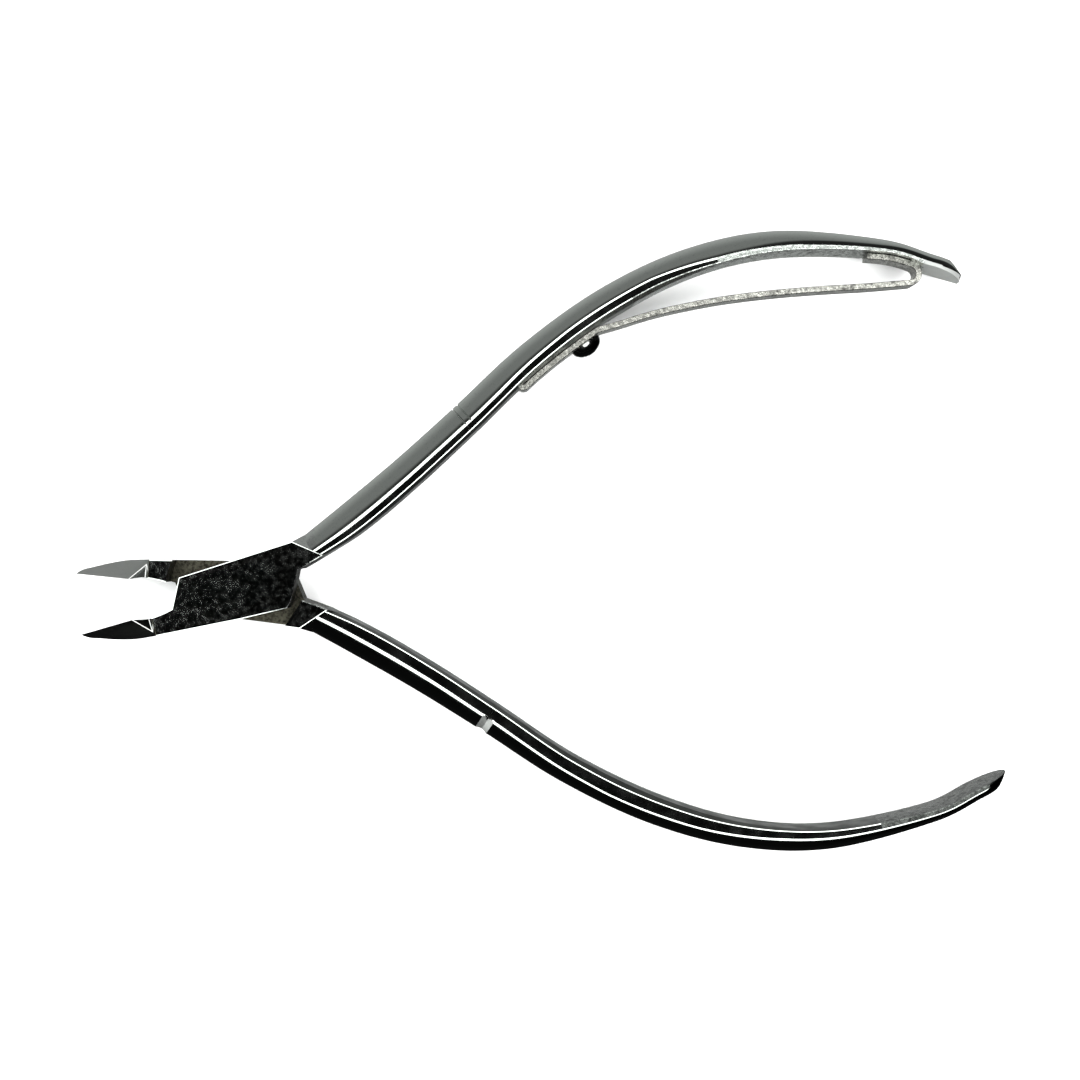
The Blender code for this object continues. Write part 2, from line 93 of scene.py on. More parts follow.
# Where the ground ridge runs on each bar, as (station, share of the width from the inner face)
FRONT_RIDGE = [(0.0, 0.24), (2.4, 0.26), (3.5, 0.23), (4.5, 0.33), (5.5, 0.34), (6.3, 0.16), (9.0, 0.1)]
REAR_RIDGE = [(0.0, 0.28), (1.0, 0.36), (2.2, 0.38), (3.5, 0.46), (4.5, 0.54), (5.5, 0.5), (6.5, 0.38), (9.0, 0.34)]
# Marks left across the bar at the weld, as (distance past the seam, half width, depth as a share)
FRONT_MARKS = [(0.02, 0.09, 0.05), (0.72, 0.09, 0.05)]
REAR_MARKS = [(0.0, 0.68, 0.1)]
# Stretch of each bar whose inner edge is torn up: rear, front
GLITTER = [(72.0, 90.0), (50.0, 81.5)]
TORN_TOP_X = 60.0
SPOON_LENGTH = 2.6
SPOON_DEPTH = 0.6

# Jaws and lap plate
HEEL_X = -12.0
FLANK_LENGTH = 5.9
EDGE_LAND = 0.08
CREASE_DEPTH = 0.022
FLANK_ANGLE = 47.0
HEEL_ANGLE = 42.0
STEP_X = -9.35
STEP_ANGLE = 66.0
RELIEF = [(2.0, 0.42), (3.8, 0.34)]
JAW_BACK = [(1.0, 0.6), (2.4, 1.07), (4.2, 1.65), (6.2, 2.15), (8.1, 2.38)]
PLATE_TOP_LEFT = (-5.25, 2.95)
PLATE_LOWER = [(-0.2, -3.15), (5.1, -3.4), (5.7, -2.75), (7.3, 0.25)]
THROAT = (-6.9, -0.12)
SHOULDER_RADIUS = 7.35
SHOULDER_CLEARANCE = 0.45
SHOULDER_ARC = (170.0, 235.0)
CROTCH_X = 4.5
CROTCH_TOP = 2.2

# Leaf spring: the leg's points are (share of the way from bend to hook, drop off the handle)
TANG_X = 34.0
TANG_DEPTH = 0.6
TANG_RADIUS = 0.5
BEND_X = 44.5
LEG_SHAPE = [
    (0.068, 1.13),
    (0.161, 1.9),
    (0.264, 2.73),
    (0.413, 3.62),
    (0.589, 4.19),
    (0.754, 4.12),
    (0.891, 3.63),
]
LEG_END_ANGLE = -11.5
HOOK_SETBACK = 1.6
HOOK_RADIUS = 1.02
FOOT_LENGTH = 4.8
SEAT_GAP = 0.06
SPRING_RIVET_X = 42.6

HANDLE = [(HANDLE_ROOT_X + HANDLE_LENGTH * share, y, width) for share, y, width in HANDLE_SHAPE]
HANDLE_END = float(len(HANDLE) - 1)
HOOK_X = HANDLE_ROOT_X + HANDLE_LENGTH - HOOK_SETBACK
TIP_X = HEEL_X - FLANK_LENGTH


# ---------------------------------------------------------------- settings


def length(name, description, default):
    """A size in metres, from millimetres."""
    return bpy.props.FloatProperty(
        name=name, description=description, default=default * MM, unit="LENGTH", precision=5
    )


def share(name, description, default):
    return bpy.props.FloatProperty(name=name, description=description, default=default, subtype="FACTOR")


def colour(name, description, default):
    return bpy.props.FloatVectorProperty(
        name=name, description=description, default=default, size=3, subtype="COLOR", min=0.0, max=1.0
    )


class NipperSizes(bpy.types.PropertyGroup):
    opening: bpy.props.FloatProperty(
        name="Opening",
        description="Turn of one half against the other, from closed to rest",
        default=math.radians(21.6),
        unit="ROTATION",
    )
    joint_thickness: length("Joint thickness", "Both plates together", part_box("front_jaw_blank")[1].z / MM)
    lap_gap: length("Lap gap", "Between the two plates", 0.08)
    bar_height: length("Bar height", "Height of a handle bar", 5.9)
    edge_roll: length("Edge roll", "Width of the rim that polishing has rolled over", 0.075)
    edge_fall: length("Edge fall", "How far the rolled rim drops", 0.013)
    ridge: share("Ridge", "Place of the drawn ridge, from the inner face", 0.36)
    inner_face: share("Inner face", "Height of the bar's flat inner face", 0.62)
    leaf_thickness: length("Leaf thickness", "Thickness of the spring strip", 0.65)
    leaf_width: length("Leaf width", "Width of the spring strip", 3.0)
    pivot_head: length("Pivot head", "Diameter of the pivot rivet's ground head", 4.8)
    pivot_shank: length("Pivot shank", "Diameter of the pivot rivet's shank", 3.2)
    pivot_clearance: length("Pivot clearance", "Radial play around the pivot rivet", 0.06)
    rivet_head: length("Spring rivet head", "Diameter of the domed head", 3.5)
    rivet_height: length("Spring rivet height", "Height of the domed head", 1.3)


class NipperFinish(bpy.types.PropertyGroup):
    mirror_steel: colour("Polished steel", "Colour of the plates and jaws", (0.62, 0.64, 0.62))
    bar_steel: colour("Bar steel", "Colour of the handle bars", (0.66, 0.69, 0.66))
    recess_steel: colour("Recess floor", "Unpolished floor of the lap recess", (0.08, 0.076, 0.058))
    spring_steel: colour("Spring steel", "Colour of the spring strip", (0.56, 0.55, 0.51))
    rivet_steel: colour("Rivet steel", "Colour of the dark domed rivet", (0.42, 0.42, 0.41))
    floor: colour("Floor", "Colour of the plain floor", (0.93, 0.93, 0.93))


# ---------------------------------------------------------------- lines in the plane


def spline(points, t):
    """The point at parameter t on the Catmull-Rom curve through points of any dimension."""
    last = len(points) - 1
    index = min(max(int(t), 0), last - 1)
    f = t - index
    p1 = Vector(points[index])
    p2 = Vector(points[index + 1])
    p0 = Vector(points[index - 1]) if index else 2 * p1 - p2
    p3 = Vector(points[index + 2]) if index + 1 < last else 2 * p2 - p1
    square = (2 * p0 - 5 * p1 + 4 * p2 - p3) * f**2
    return 0.5 * (2 * p1 + (p2 - p0) * f + square + (3 * p1 - p0 - 3 * p2 + p3) * f**3)


def through(points, steps):
    count = (len(points) - 1) * steps
    return [spline(points, i / steps) for i in range(count + 1)]


def handle_at(t):
    """(outer point, direction along the bar, direction inwards, width) at parameter t."""
    step = 0.001
    along = spline(HANDLE, min(t + step, HANDLE_END)) - spline(HANDLE, max(t - step, 0.0))
    along = along.to_2d().normalized()
    x, y, width = spline(HANDLE, t)
    return Vector((x, y)), along, Vector((along.y, -along.x)), width


def off_inner_face(x, distance):
    """The point this far off the bar's inner face, opposite the outer outline's point at x."""
    low, high = 0.0, HANDLE_END
    for _ in range(40):
        middle = (low + high) / 2
        low, high = (middle, high) if spline(HANDLE, middle).x < x else (low, middle)
    outer, along, inwards, width = handle_at(low)
    return outer + inwards * (width + distance), along, inwards


def arc(centre, radius, start, end, count):
    angles = [math.radians(start + (end - start) * i / count) for i in range(count + 1)]
    return [Vector(centre) + radius * Vector((math.cos(a), math.sin(a))) for a in angles]


def distances(points):
    """How far along the line each of its points lies."""
    found = [0.0]
    for one, two in zip(points, points[1:]):
        found.append(found[-1] + (two - one).length)
    return found


# ---------------------------------------------------------------- modelling helpers


def start_fresh():
    """Leaves nothing selected, so that an operator acts on new geometry only."""
    if bpy.context.object and bpy.context.object.mode != "OBJECT":
        bpy.ops.object.mode_set(mode="OBJECT")
    bpy.ops.object.select_all(action="DESELECT")


def make_active(obj):
    start_fresh()
    obj.select_set(True)
    bpy.context.view_layer.objects.active = obj


def edit(obj, kind="FACE"):
    make_active(obj)
    bpy.ops.object.mode_set(mode="EDIT")
    bpy.ops.mesh.select_mode(type=kind)


def done():
    bpy.ops.object.mode_set(mode="OBJECT")


def apply_modifier(obj, kind, **settings):
    """Adds a modifier with these settings and applies it."""
    make_active(obj)
    modifier = obj.modifiers.new(kind.lower(), kind)
    for name, value in settings.items():
        setattr(modifier, name, value)
    bpy.ops.object.modifier_apply(modifier=modifier.name)


def cut(obj, cutter, operation="DIFFERENCE", keep=False):
    apply_modifier(obj, "BOOLEAN", operation=operation, solver="EXACT", object=cutter)
    if not keep:
        bpy.data.objects.remove(cutter)


def polygon(name, points, height=0.0):
    """A flat face through these points in millimetres: a disc whose rim is moved onto them."""
    start_fresh()
    bpy.ops.mesh.primitive_circle_add(vertices=len(points), fill_type="NGON")
    obj = bpy.context.object
    obj.name = name
    for vertex, point in zip(obj.data.vertices, points):
        vertex.co = (point[0] * MM, point[1] * MM, height * MM)
    return obj


def recalculate(obj):
    edit(obj)
    bpy.ops.mesh.select_all(action="SELECT")
    bpy.ops.mesh.remove_doubles(threshold=1e-7)
    bpy.ops.mesh.normals_make_consistent(inside=False)
    done()


def prism(name, points, low, high):
    obj = polygon(name, points, low)
    edit(obj)
    bpy.ops.mesh.select_all(action="SELECT")
    bpy.ops.mesh.extrude_region_move(TRANSFORM_OT_translate={"value": (0.0, 0.0, (high - low) * MM)})
    done()
    recalculate(obj)
    return obj


def wedge(name, low, high, planes):
    """A block, in millimetres, bisected by planes of (point, normal of the side that goes)."""
    start_fresh()
    size = Vector(high) - Vector(low)
    bpy.ops.mesh.primitive_cube_add(size=1.0, location=(Vector(high) + Vector(low)) / 2 * MM, scale=size * MM)
    obj = bpy.context.object
    obj.name = name
    bpy.ops.object.transform_apply(location=True, rotation=True, scale=True)
    edit(obj)
    for point, normal in planes:
        bpy.ops.mesh.select_all(action="SELECT")
        bpy.ops.mesh.bisect(
            plane_co=Vector(point) * MM, plane_no=normal, use_fill=True, clear_outer=True, threshold=1e-7
        )
    done()
    recalculate(obj)
    return obj


def turned(name, profile, steps=96):
    """A turned piece about Z from (radius, height) in millimetres, extruded ring by ring upwards."""
    start_fresh()
    radius, height = profile[0]
    bpy.ops.mesh.primitive_circle_add(
        vertices=steps, radius=radius * MM, fill_type="NGON", location=(0.0, 0.0, height * MM)
    )
    obj = bpy.context.object
    obj.name = name
    bpy.ops.object.transform_apply(location=True, rotation=True, scale=True)
    edit(obj)
    bpy.ops.mesh.select_all(action="SELECT")
    for next_radius, next_height in profile[1:]:
        rise = (0.0, 0.0, (next_height - height) * MM)
        bpy.ops.mesh.extrude_region_move(TRANSFORM_OT_translate={"value": rise})
        factor = next_radius / radius
        centre = (0.0, 0.0, next_height * MM)
        bpy.ops.transform.resize(value=(factor, factor, 1.0), center_override=centre)
        radius, height = next_radius, next_height
    done()
    recalculate(obj)
    return obj


def swept(name, section, stations):
    """Extrudes a section along X. A station is (distance, width factor, height factor)."""
    obj = polygon(name, section)
    for vertex, (y, z) in zip(obj.data.vertices, section):
        vertex.co = (stations[0][0], y * stations[0][1], z * stations[0][2])
    edit(obj)
    bpy.ops.mesh.select_all(action="SELECT")
    for (x0, w0, h0), (x1, w1, h1) in zip(stations, stations[1:]):
        bpy.ops.mesh.extrude_region_move(TRANSFORM_OT_translate={"value": (x1 - x0, 0.0, 0.0)})
        bpy.ops.transform.resize(value=(1.0, w1 / w0, h1 / h0), center_override=(x1, 0.0, 0.0))
    done()
    recalculate(obj)
    return obj


def bend_along(obj, line, height):
    """Lays a straight piece along a line of points in millimetres, with its middle at height."""
    curve = bpy.data.curves.new(obj.name + " line", "CURVE")
    curve.dimensions = "2D"
    path = curve.splines.new("POLY")
    path.points.add(len(line) - 1)
    for point, place in zip(path.points, line):
        point.co = (place[0] * MM, place[1] * MM, 0.0, 1.0)
    guide = bpy.data.objects.new(curve.name, curve)
    bpy.context.scene.collection.objects.link(guide)
    apply_modifier(obj, "CURVE", object=guide, deform_axis="POS_X")
    bpy.data.objects.remove(guide)
    obj.data.transform(Matrix.Translation((0.0, 0.0, height)))


def smooth(obj, degrees=9.0):
    make_active(obj)
    bpy.ops.object.shade_smooth_by_angle(angle=math.radians(degrees))


def placement(front, sizes):
    """Turns a half from its closed drawing to rest, and turns the rear half over first."""
    if front:
        return Matrix.Rotation(sizes.opening / 2, 4, "Z")
    over = Matrix.Translation((0.0, 0.0, sizes.joint_thickness)) @ Matrix.Rotation(math.pi, 4, "X")
    return Matrix.Rotation(-sizes.opening / 2, 4, "Z") @ over


def roll_rims(obj, sizes):
    """Insets the two flat faces of a blank and lets their rims drop, as polishing does."""
    for side in (1.0, -1.0):
        face_z = sizes.joint_thickness if side > 0 else 0.0
        edit(obj)
        bpy.ops.mesh.select_all(action="DESELECT")
        done()
        for face in obj.data.polygons:
            flat = abs(face.center.z - face_z) < 1e-6 and face.normal.z * side > 0.99
            face.select = flat
        edit(obj)
        bpy.ops.mesh.inset(thickness=sizes.edge_roll, depth=0.0, use_even_offset=True)
        done()
        inside = {index for face in obj.data.polygons if face.select for index in face.vertices}
        for vertex in obj.data.vertices:
            if abs(vertex.co.z - face_z) < 1e-6 and vertex.index not in inside:
                vertex.co.z -= side * sizes.edge_fall


# ---------------------------------------------------------------- finishes


def new_group(name, inputs, outputs):
    """An empty shader node group with these (name, type, default) inputs and (name, type) outputs."""
    group = bpy.data.node_groups.new(name, "ShaderNodeTree")
    for socket, kind, default in inputs:
        made = group.interface.new_socket(name=socket, in_out="INPUT", socket_type=kind)
        if default is not None:
            made.default_value = default
    for socket, kind in outputs:
        group.interface.new_socket(name=socket, in_out="OUTPUT", socket_type=kind)
    return group, group.nodes.new("NodeGroupInput"), group.nodes.new("NodeGroupOutput")


def math_node(tree, operation, one, two=None, three=None):
    node = tree.nodes.new("ShaderNodeMath")
    node.operation = operation
    for socket, value in zip(node.inputs, (one, two, three)):
        if isinstance(value, (int, float)):
            socket.default_value = value
        elif value is not None:
            tree.links.new(value, socket)
    return node.outputs[0]


def noise(tree, vector, scale, detail=4.0, rough=0.6):
    node = tree.nodes.new("ShaderNodeTexNoise")
    node.inputs["Detail"].default_value = detail
    node.inputs["Roughness"].default_value = rough
    if isinstance(scale, (int, float)):
        node.inputs["Scale"].default_value = scale
    else:
        tree.links.new(scale, node.inputs["Scale"])
    tree.links.new(vector, node.inputs["Vector"])
    return node.outputs["Fac"]


def ramp(tree, value, low, high, low_value=0.0, high_value=1.0):
    node = tree.nodes.new("ShaderNodeMapRange")
    node.interpolation_type = "SMOOTHSTEP"
    node.inputs["From Min"].default_value = low
    node.inputs["From Max"].default_value = high
    node.inputs["To Min"].default_value = low_value
    node.inputs["To Max"].default_value = high_value
    tree.links.new(value, node.inputs["Value"])
    return node.outputs["Result"]


def polish_group():
    """Smudges and fine polishing lines: how the roughness and the surface wander on bright steel."""
    group, given, out = new_group(
        "polish marks",
        [
            ("Vector", "NodeSocketVector", None),
            ("Scale", "NodeSocketFloat", 420.0),
            ("Roughness", "NodeSocketFloat", 0.1),
            ("Smudge", "NodeSocketFloat", 0.1),
        ],
        [("Roughness", "NodeSocketFloat"), ("Height", "NodeSocketFloat"), ("Mottle", "NodeSocketFloat")],
    )
    vector = given.outputs["Vector"]
    cloud = noise(group, vector, given.outputs["Scale"], 3.0)
    speck = ramp(group, noise(group, vector, 2600.0, 2.0, 0.7), 0.5, 0.75)
    stretch = group.nodes.new("ShaderNodeMapping")
    stretch.inputs["Scale"].default_value = (1.0, 9.0, 9.0)
    group.links.new(vector, stretch.inputs["Vector"])
    hair = noise(group, stretch.outputs["Vector"], 1500.0, 2.0)
    wander = math_node(group, "MULTIPLY", ramp(group, cloud, 0.35, 0.7), given.outputs["Smudge"])
    group.links.new(math_node(group, "ADD", wander, given.outputs["Roughness"]), out.inputs["Roughness"])
    group.links.new(math_node(group, "MULTIPLY_ADD", hair, 0.35, speck), out.inputs["Height"])
    group.links.new(math_node(group, "MULTIPLY", speck, cloud), out.inputs["Mottle"])
    return group


def grain_group():
    """Torn, glittering metal, as on a sheared strip or an unpolished forging."""
    group, given, out = new_group(
        "torn grain",
        [("Vector", "NodeSocketVector", None), ("Scale", "NodeSocketFloat", 2600.0)],
        [("Height", "NodeSocketFloat"), ("Shade", "NodeSocketFloat")],
    )
    vector = given.outputs["Vector"]
    coarse = noise(group, vector, given.outputs["Scale"], 6.0, 0.75)
    cell = group.nodes.new("ShaderNodeTexVoronoi")
    group.links.new(vector, cell.inputs["Vector"])
    group.links.new(given.outputs["Scale"], cell.inputs["Scale"])
    height = math_node(group, "MULTIPLY_ADD", cell.outputs["Distance"], 0.6, coarse)
    group.links.new(height, out.inputs["Height"])
    group.links.new(ramp(group, coarse, 0.32, 0.62), out.inputs["Shade"])
    return group


def shared(name, maker):
    return bpy.data.node_groups.get(name) or maker()


def new_finish(name):
    material = bpy.data.materials.new(name)
    material.use_nodes = True
    tree = material.node_tree
    shader = tree.nodes["Principled BSDF"]
    shader.inputs["Metallic"].default_value = 1.0
    place = tree.nodes.new("ShaderNodeTexCoord")
    return material, tree, shader, place.outputs["Object"]


def add_bump(tree, shader, height, distance):
    bump = tree.nodes.new("ShaderNodeBump")
    bump.inputs["Strength"].default_value = 1.0
    bump.inputs["Distance"].default_value = distance * MM
    tree.links.new(height, bump.inputs["Height"])
    tree.links.new(bump.outputs["Normal"], shader.inputs["Normal"])


def mix_colour(tree, factor, one, two):
    node = tree.nodes.new("ShaderNodeMix")
    node.data_type = "RGBA"
    node.inputs["A"].default_value = (*one, 1.0)
    node.inputs["B"].default_value = (*two, 1.0)
    tree.links.new(factor, node.inputs["Factor"])
    return node.outputs["Result"]


def dimmed(colour_value, factor):
    return [channel * factor for channel in colour_value]


def polished(name, colour_value, roughness, smudge, bump, speck_shade, cloud_scale=420.0, metallic=1.0):
    """Bright polished steel with smudges, hair lines and small specks."""
    found = bpy.data.materials.get(name)
    if found:
        return found
    material, tree, shader, place = new_finish(name)
    shader.inputs["Metallic"].default_value = metallic
    marks = tree.nodes.new("ShaderNodeGroup")
    marks.node_tree = shared("polish marks", polish_group)
    marks.inputs["Roughness"].default_value = roughness
    marks.inputs["Smudge"].default_value = smudge
    marks.inputs["Scale"].default_value = cloud_scale
    tree.links.new(place, marks.inputs["Vector"])
    tree.links.new(marks.outputs["Roughness"], shader.inputs["Roughness"])
    base = mix_colour(tree, marks.outputs["Mottle"], colour_value, dimmed(colour_value, speck_shade))
    tree.links.new(base, shader.inputs["Base Color"])
    add_bump(tree, shader, marks.outputs["Height"], bump)
    return material


def torn(name, colour_value, dark_factor, roughness, scale, bump):
    """Rough metal: bright grains with dark pits between them."""
    found = bpy.data.materials.get(name)
    if found:
        return found
    material, tree, shader, place = new_finish(name)
    grain = tree.nodes.new("ShaderNodeGroup")
    grain.node_tree = shared("torn grain", grain_group)
    grain.inputs["Scale"].default_value = scale
    tree.links.new(place, grain.inputs["Vector"])
    base = mix_colour(tree, grain.outputs["Shade"], dimmed(colour_value, dark_factor), colour_value)
    tree.links.new(base, shader.inputs["Base Color"])
    tree.links.new(ramp(tree, grain.outputs["Shade"], 0.0, 1.0, roughness + 0.2, roughness), shader.inputs["Roughness"])
    add_bump(tree, shader, grain.outputs["Height"], bump)
    return material


def plate_steel(finish):
    return polished("polished plate", finish.mirror_steel, 0.05, 0.075, 0.0012, 0.6, 1900.0)


def flank_steel(finish):
    return polished("ground flank", dimmed(finish.mirror_steel, 0.5), 0.5, 0.05, 0.001, 0.85, metallic=0.72)


def satin_finish(finish):
    return polished("satin tail", dimmed(finish.mirror_steel, 0.65), 0.5, 0.1, 0.004, 0.8, 900.0, metallic=0.4)


# Painted shade: the front jaw's flank is polished steel dimmed to near black, standing in for the dark it reflects.
def painted_shade_flank(finish):
    return polished("flank painted dark as shade", dimmed(finish.mirror_steel, 0.03), 0.16, 0.08, 0.001, 0.7, 700.0)


def bar_finish(finish):
    return polished("polished bar", finish.bar_steel, 0.07, 0.04, 0.0003, 0.85)


def inner_finish(finish):
    return polished("brushed inner face", dimmed(finish.bar_steel, 0.8), 0.34, 0.15, 0.002, 0.6)


# Painted shade: the rear bar's inner face, a much darker copy of the brushed inner face.
def painted_shade_inner_finish(finish):
    return polished("inner face painted dark as shade", dimmed(finish.bar_steel, 0.16), 0.3, 0.15, 0.002, 0.6)


# Painted highlight: near-white, mostly unmetallic steel on the crease strips, standing in for the bright lines they
# catch.
def painted_highlight_edge_finish(finish):
    return polished("crease strip painted as highlight", (0.9, 0.91, 0.89), 0.5, 0.1, 0.001, 0.85, 900.0, metallic=0.3)


# Rough dark floor of the recess; the same finish is put on some rolled rims as painted shade.
def recess_and_shade_finish(finish):
    return torn("rough recess floor and painted shade", finish.recess_steel, 0.2, 0.4, 2600.0, 0.014)


def spring_finish(finish):
    return torn("sheared strip", finish.spring_steel, 0.16, 0.2, 2300.0, 0.035)


def glitter_finish(finish):
    return torn("torn inner edge", finish.bar_steel, 0.3, 0.2, 2000.0, 0.035)


# Painted shade: the rear tail's torn inner edge, a darker copy of the torn edge.
def painted_shade_glitter_finish(finish):
    return torn("torn edge painted dark as shade", dimmed(finish.bar_steel, 0.2), 0.1, 0.2, 2000.0, 0.035)


def rivet_finish(finish):
    return polished("dark rivet", finish.rivet_steel, 0.1, 0.08, 0.001, 0.7)


def turned_finish(finish):
    return polished("turned rivet", finish.mirror_steel, 0.22, 0.12, 0.001, 0.7)


def paint(obj, *materials):
    obj.data.materials.clear()
    for material in materials:
        obj.data.materials.append(material)


def paint_where(obj, index, test):
    """Gives a finish to the faces whose centre and normal pass the test."""
    for face in obj.data.polygons:
        if test(face.center / MM, face.normal):
            face.material_index = index


# ---------------------------------------------------------------- bars


BAR_SLOPE_STEPS = 44
FRONT_FULLNESS = 1.7
REAR_FULLNESS = 2.1
# Inner side of the drawn section: chamfer, rolled edge and the near-flat land up to the ridge
ROLL_START = 0.12
LAND_START = 0.18
LAND_SHARE = 0.42
REAR_PULL = 0.07
LAND_ANGLE = 4.5
ROLL_WIDTH = 0.09
ROLL_ANGLE = 16.0


def bar_section(sizes, fullness):
    """The bar's section as (y, z) in metres for a bar 1 mm wide, outer edge at y = 0."""
    half = sizes.bar_height / 2
    upper = [(0.0, sizes.inner_face), (ROLL_START, 0.95), (LAND_START, 0.97), (sizes.ridge, 1.0)]
    for i in range(1, BAR_SLOPE_STEPS):
        angle = math.pi / 2 * i / BAR_SLOPE_STEPS
        out = math.sin(angle) ** (2 / fullness)
        up = math.cos(angle) ** (2 / fullness)
        upper.append((sizes.ridge + (1 - sizes.ridge) * out, up))
    lower = [(u, -v) for u, v in reversed(upper)]
    ring = upper + [(1.0, 0.0)] + lower
    return [((u - 1.0) * MM, v * half) for u, v in ring]


def between(table, t):
    """The value at t in a table of (place, value), joined by straight lines."""
    for (t0, v0), (t1, v1) in zip(table, table[1:]):
        if t <= t1:
            return v0 + (v1 - v0) * max(t - t0, 0.0) / (t1 - t0)
    return table[-1][1]


def station_after(distance):
    """The parameter this far, in millimetres, past the seam along the outer outline."""
    speed = (spline(HANDLE, SEAM_STATION + 0.01) - spline(HANDLE, SEAM_STATION - 0.01)).to_2d().length / 0.02
    return SEAM_STATION + distance / speed


def bar_stations(start, end, count, marks):
    """Even stations, with more of them across each mark."""
    found = {start + (end - start) * i / count for i in range(count + 1)}
    for middle, reach, _ in marks:
        for i in range(-4, 5):
            t = station_after(middle + reach * i / 4)
            if start + 0.0005 < t < end - 0.0005:
                found.add(t)
    return sorted(found)


def ease(value):
    value = min(max(value, 0.0), 1.0)
    return value * value * (3 - 2 * value)


def shape_bar(bar, stations, along, ridges, marks, sizes, pull_in):
    """Moves the drawn ridge to its place at each station and lets the marks in on the outer slope."""
    seam = bar_distance(stations, along, SEAM_STATION)
    for vertex in bar.data.vertices:
        x, y, z = vertex.co
        place = min(max(x / MM, along[0]), along[-1])
        t = at_distance(stations, along, place)
        width = handle_at(t)[3] * MM
        s = 1 + y / width
        ridge = between(ridges, t)
        beyond = max(x / MM - along[-1], 0.0) / TAIL_LENGTH
        crown = sizes.bar_height / 2 * math.sqrt(max(1 - beyond * beyond, 0.0))
        if s > sizes.ridge:
            s = 1 - (1 - s) * (1 - ridge) / (1 - sizes.ridge)
        elif s > ROLL_START / 2:
            land = (1 - LAND_SHARE) * ridge * width / MM
            roll = ROLL_WIDTH if s < (ROLL_START + LAND_START) / 2 else 0.0
            if s > (LAND_START + sizes.ridge) / 2:
                land = 0.0
            drop = land * math.tan(math.radians(LAND_ANGLE)) + roll * math.tan(math.radians(ROLL_ANGLE))
            s = ridge - (land + roll) * MM / width
            z = math.copysign(max(crown - drop * MM, crown * 0.6), z)
        else:
            s += pull_in * ease(t / 1.2)
        for middle, reach, depth in marks:
            off = abs(x / MM - seam - middle) / reach
            if off < 1:
                pull = depth * (1 - off * off) * ease((s - ridge - 0.04) / 0.16)
                s = ridge + (s - ridge) * (1 - pull)
                z *= 1 - pull
        vertex.co = (x, (s - 1) * width, z)


def at_distance(stations, along, place):
    for (t0, d0), (t1, d1) in zip(zip(stations, along), zip(stations[1:], along[1:])):
        if place <= d1:
            return t0 + (t1 - t0) * (place - d0) / (d1 - d0)
    return stations[-1]


def bar_distance(stations, along, t):
    for (t0, d0), (t1, d1) in zip(zip(stations, along), zip(stations[1:], along[1:])):
        if t <= t1:
            return d0 + (d1 - d0) * (t - t0) / (t1 - t0)
    return along[-1]


def make_bar(name, start, end, count, sizes, start_shift, end_shift, tail, ridges, marks, spoon=0.0):
    params = bar_stations(start, end, count, marks)
    line = [handle_at(t)[0] for t in params]
    widths = [handle_at(t)[3] for t in params]
    along = distances(line)
    stations = [(distance * MM, width, 1.0) for distance, width in zip(along, widths)]
    stations[0] = (start_shift * MM, widths[0], 1.0)
    stations[-1] = (stations[-1][0] + end_shift * MM, widths[-1], 1.0)
    last = stations[-1][0]
    if tail:
        rings = 12
        for i in range(1, rings + 1):
            angle = math.radians(TAIL_TURN) * i / rings
            stations.append((last + TAIL_LENGTH * MM * math.sin(angle), widths[-1], math.cos(angle)))
    fullness, pull_in = (FRONT_FULLNESS, 0.0) if spoon else (REAR_FULLNESS, REAR_PULL)
    bar = swept(name, bar_section(sizes, fullness), stations)
    shape_bar(bar, params, along, ridges, marks, sizes, pull_in)
    if tail:
        start_spoon = last - SPOON_LENGTH * MM
        level = sizes.inner_face * sizes.bar_height / 2
        for vertex in bar.data.vertices:
            x, y, z = vertex.co
            near = 1 + y / (widths[-1] * MM)
            if spoon and x > start_spoon and near < 0.12:
                grow = ease((x - start_spoon) / (SPOON_LENGTH * 0.6 * MM))
                y -= spoon * MM * grow * (1 - near / 0.12) * (1 - 0.5 * abs(z) / level)
            beyond = x - last
            if beyond > 0:
                x += beyond * TAIL_SLANT / TAIL_LENGTH * min(-y / (widths[-1] * MM), 0.85)
            vertex.co = (x, y, z)
    bend_along(bar, line, sizes.joint_thickness / 2)
    return bar


def inner_side(centre, normal):
    """Whether a face of the closed drawing lies on the bar's inner side, below its chamfer."""
    if centre.x < ROOT_INNER[0] or abs(normal.z) > 0.8:
        return False
    _, _, inwards = off_inner_face(centre.x, 0.0)
    return normal.to_2d().normalized().dot(inwards) > 0.8


# ---------------------------------------------------------------- operators


